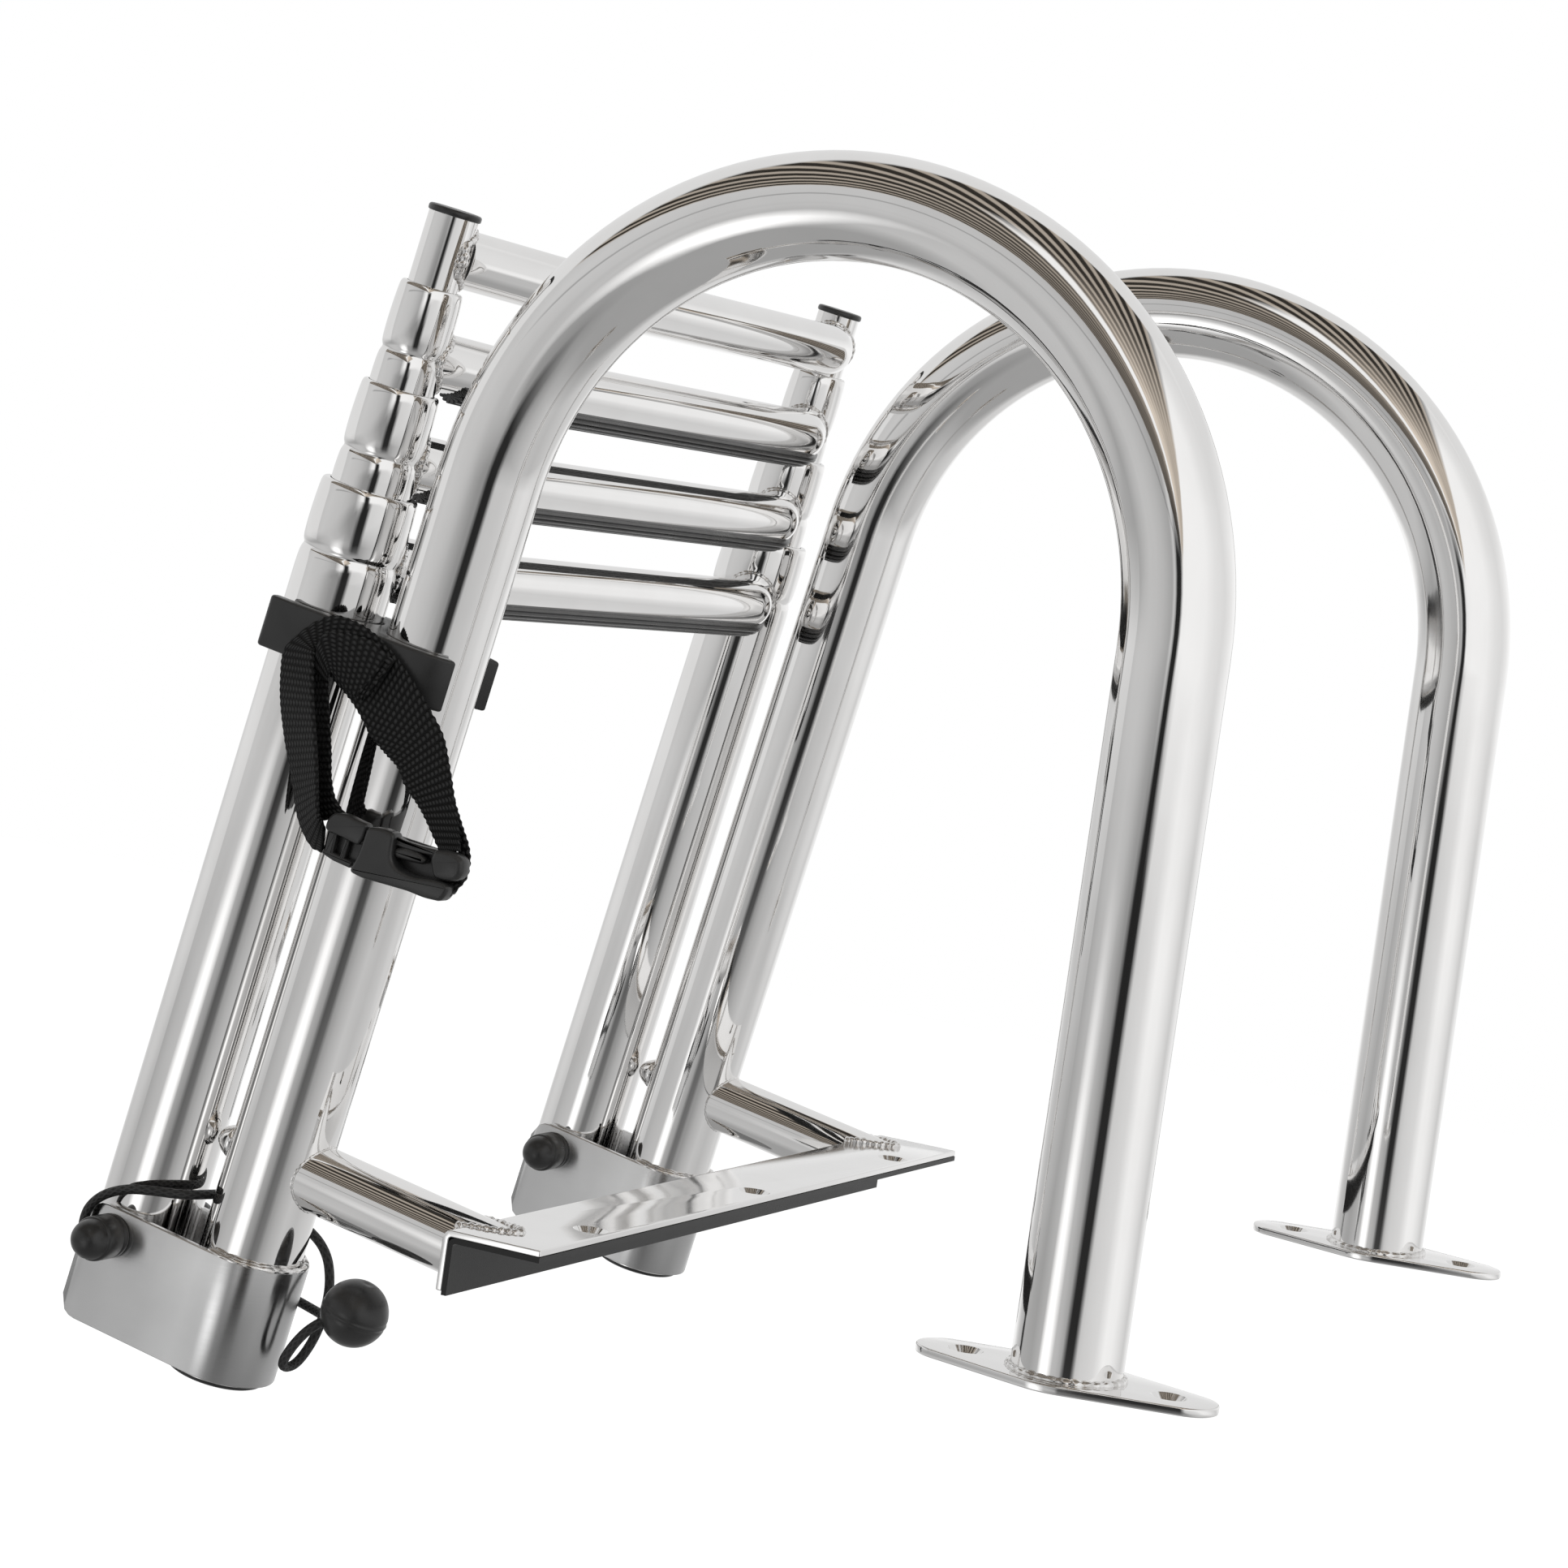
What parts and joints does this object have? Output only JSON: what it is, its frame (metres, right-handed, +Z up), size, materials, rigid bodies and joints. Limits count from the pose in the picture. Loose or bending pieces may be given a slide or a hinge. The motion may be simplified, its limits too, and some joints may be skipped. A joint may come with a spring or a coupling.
{
  "type": "folding telescopic boarding ladder",
  "caption": "Folding telescopic boarding ladder with twin handrail hoops: it swings outboard on its pivots and slides out to reach below the water.",
  "frame": {"origin": "middle of the mounting angle's footprint, midway between the hoops, on the underside of its rubber pad, in the plane of the deck", "axes": "+Z up from the deck, +X towards the right handrail as seen from the deck looking outboard, +Y outboard to the water"},
  "size_m": [0.4346, 0.4417, 0.4725],
  "materials": {
    "polished_steel": "mirror-polished stainless steel",
    "bolt_steel": "bright stainless fasteners",
    "bumper_steel": "bright dome head",
    "black_rubber": "matt black rubber",
    "black_plastic": "satin black nylon",
    "black_webbing": "woven polyester webbing",
    "black_cord": "braided elastic cord"
  },
  "bodies": {
    "handrails": {"bolt_cap_left_inner": "black_rubber", "bolt_cap_left_outer": "black_rubber", "bolt_cap_right_inner": "black_rubber", "bolt_cap_right_outer": "black_rubber", "bumper_left": "bumper_steel", "bumper_right": "bumper_steel", "cord": "black_cord", "cord_ball": "black_plastic", "cord_return": "black_cord", "deck_flange_left": "polished_steel", "deck_flange_right": "polished_steel", "hoop_left": "polished_steel", "hoop_right": "polished_steel", "leg_plug_left": "black_plastic", "leg_plug_right": "black_plastic", "mounting_angle": "polished_steel", "mounting_pad": "black_rubber", "pivot_bolt_left": "bolt_steel", "pivot_bolt_right": "bolt_steel", "pivot_bracket_left": "polished_steel", "pivot_bracket_right": "polished_steel", "stile_clip": "black_plastic", "strap": "black_webbing", "strap_buckle": "black_plastic", "stub_tube_left": "polished_steel", "stub_tube_right": "polished_steel"},
    "ladder": {"rung_1": "polished_steel", "stile_1_left": "polished_steel", "stile_1_right": "polished_steel", "tread_1": "black_rubber"},
    "section_2": {"guides_2": "black_plastic", "rung_2": "polished_steel", "stile_2_left": "polished_steel", "stile_2_right": "polished_steel", "tread_2": "black_rubber"},
    "section_3": {"guides_3": "black_plastic", "rung_3": "polished_steel", "stile_3_left": "polished_steel", "stile_3_right": "polished_steel", "tread_3": "black_rubber"},
    "section_4": {"guides_4": "black_plastic", "rung_4": "polished_steel", "stile_4_left": "polished_steel", "stile_4_right": "polished_steel", "top_cap_left": "black_plastic", "top_cap_right": "black_plastic"}
  },
  "joints": [
    {"name": "fold_hinge", "type": "hinge", "parent": "handrails", "child": "ladder", "pos_m": [0, 0.15695, -0.0256], "axis": [-1, 0, 0], "range_deg": [0, 180]},
    {"name": "section_2_slide", "type": "slide", "parent": "ladder", "child": "section_2", "axis": [0, -0.1805, 0.9836], "range_m": [0, 0.22]},
    {"name": "section_3_slide", "type": "slide", "parent": "section_2", "child": "section_3", "axis": [0, -0.1805, 0.9836], "range_m": [0, 0.22]},
    {"name": "section_4_slide", "type": "slide", "parent": "section_3", "child": "section_4", "axis": [0, -0.1805, 0.9836], "range_m": [0, 0.22]}
  ]
}
